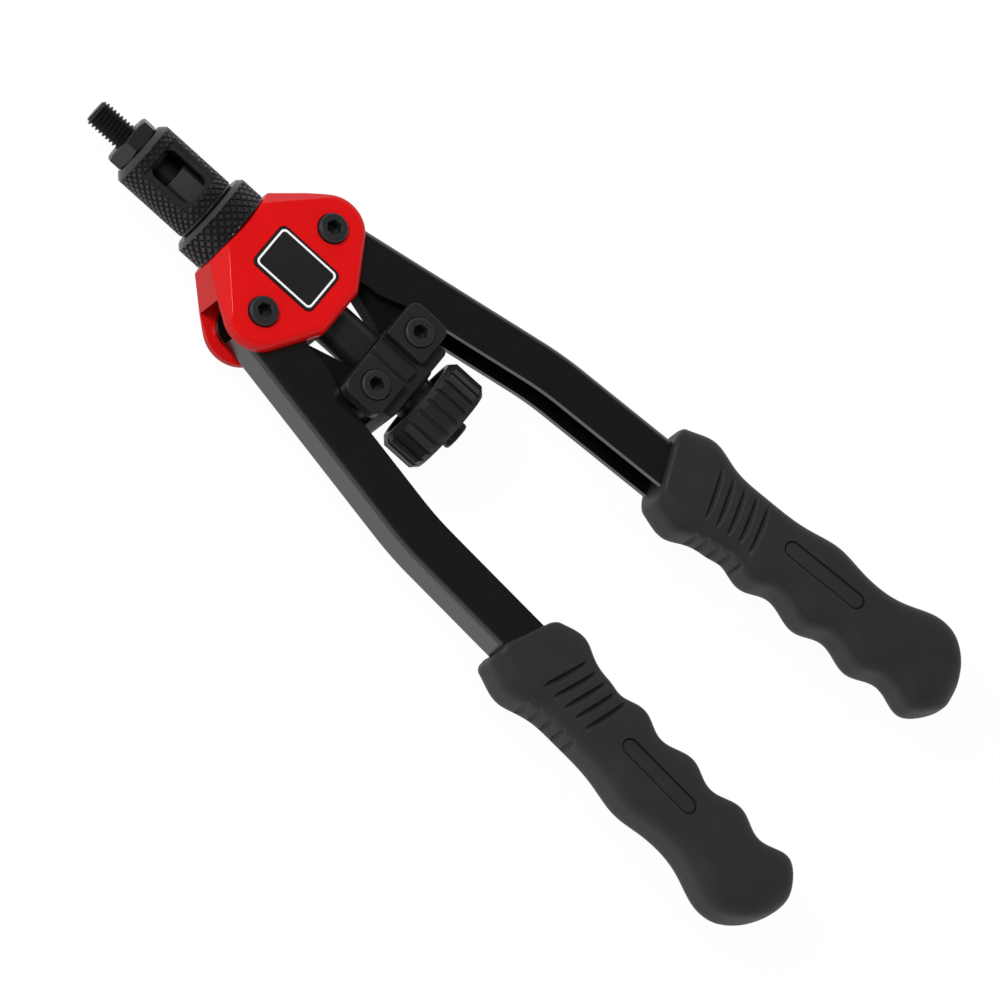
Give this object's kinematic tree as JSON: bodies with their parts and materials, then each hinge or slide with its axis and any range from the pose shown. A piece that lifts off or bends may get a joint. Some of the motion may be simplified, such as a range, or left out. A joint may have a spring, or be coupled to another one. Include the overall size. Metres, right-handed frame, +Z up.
{
  "type": "rivet nut tool",
  "caption": "Hand tool that sets threaded rivet nuts: a knurled nose with a screwed mandrel on a red cast head, two bent levers with rubber grips, a sliding crosshead and a fluted knob.",
  "frame": {"origin": "centre of the anvil's front face, on the mandrel axis", "axes": "+X back along the tool to the handles, +Y to the right-hand lever, +Z up when the tool lies flat"},
  "size_m": [0.2862, 0.111, 0.03],
  "materials": {
    "red_paint": "gloss red paint on a cast head",
    "gloss_black": "gloss black paint on pressed steel",
    "matte_black": "matte black coat on cast and turned steel",
    "black_steel": "blackened steel",
    "bright_steel": "turned steel",
    "bronze": "plain bearing bronze",
    "badge": "black plate with a thin white frame line and no words",
    "grip_rubber": "matte moulded rubber"
  },
  "bodies": {
    "head": {"head_casting": "red_paint", "badge_plate": "badge", "nose_nipple": "bright_steel", "guide_bush": "bronze", "pivot_screws": "black_steel"},
    "sleeve": {"nose_sleeve": "black_steel", "anvil": "black_steel"},
    "ring": {"lock_ring": "black_steel"},
    "crosshead": {"crosshead": "matte_black", "barrel": "matte_black", "crosshead_screws": "black_steel", "thrust_washer": "bright_steel"},
    "spindle": {"spindle": "bright_steel", "drive_coupling": "bright_steel", "mandrel": "black_steel", "knob": "matte_black", "knob_cap": "black_steel"},
    "right_lever": {"lever_right": "gloss_black", "pivot_bush_right": "bronze", "link_pin_right": "bright_steel", "grip_right": "grip_rubber"},
    "left_lever": {"lever_left": "gloss_black", "pivot_bush_left": "bronze", "link_pin_left": "bright_steel", "grip_left": "grip_rubber"},
    "right_link": {"link_right": "black_steel"},
    "left_link": {"link_left": "black_steel"}
  },
  "joints": [
    {"name": "right_lever_swing", "type": "hinge", "parent": "head", "child": "right_lever", "pos_m": [0.05885, 0.01635, 0], "axis": [0, 0, 1], "range_deg": [-5, 45]},
    {"name": "left_lever_swing", "type": "hinge", "parent": "head", "child": "left_lever", "pos_m": [0.05885, -0.01635, 0], "axis": [0, 0, 1], "range_deg": [-45, 5]},
    {"name": "crosshead_slide", "type": "slide", "parent": "head", "child": "crosshead", "axis": [1, 0, 0], "range_m": [-0.0051, 0.0006]},
    {"name": "right_link_swing", "type": "hinge", "parent": "crosshead", "child": "right_link", "pos_m": [0.0956, 0.0103, 0], "axis": [0, 0, 1], "range_deg": [-10.7, 1.3]},
    {"name": "left_link_swing", "type": "hinge", "parent": "crosshead", "child": "left_link", "pos_m": [0.0956, -0.0103, 0], "axis": [0, 0, 1], "range_deg": [-1.3, 10.7]},
    {"name": "spindle_turn", "type": "hinge", "parent": "crosshead", "child": "spindle", "pos_m": [0.11, 0, 0], "axis": [1, 0, 0], "continuous": true},
    {"name": "sleeve_turn", "type": "hinge", "parent": "head", "child": "sleeve", "pos_m": [0.02, 0, 0], "axis": [1, 0, 0], "continuous": true},
    {"name": "ring_turn", "type": "hinge", "parent": "head", "child": "ring", "pos_m": [0.035, 0, 0], "axis": [1, 0, 0], "continuous": true}
  ],
  "couplings": [
    {"joint": "left_lever_swing", "follows": "right_lever_swing", "ratio": -1},
    {"joint": "crosshead_slide", "follows": "right_lever_swing", "m_per_rad": -0.0064},
    {"joint": "right_link_swing", "follows": "right_lever_swing", "ratio": -0.235},
    {"joint": "left_link_swing", "follows": "right_lever_swing", "ratio": 0.235}
  ]
}
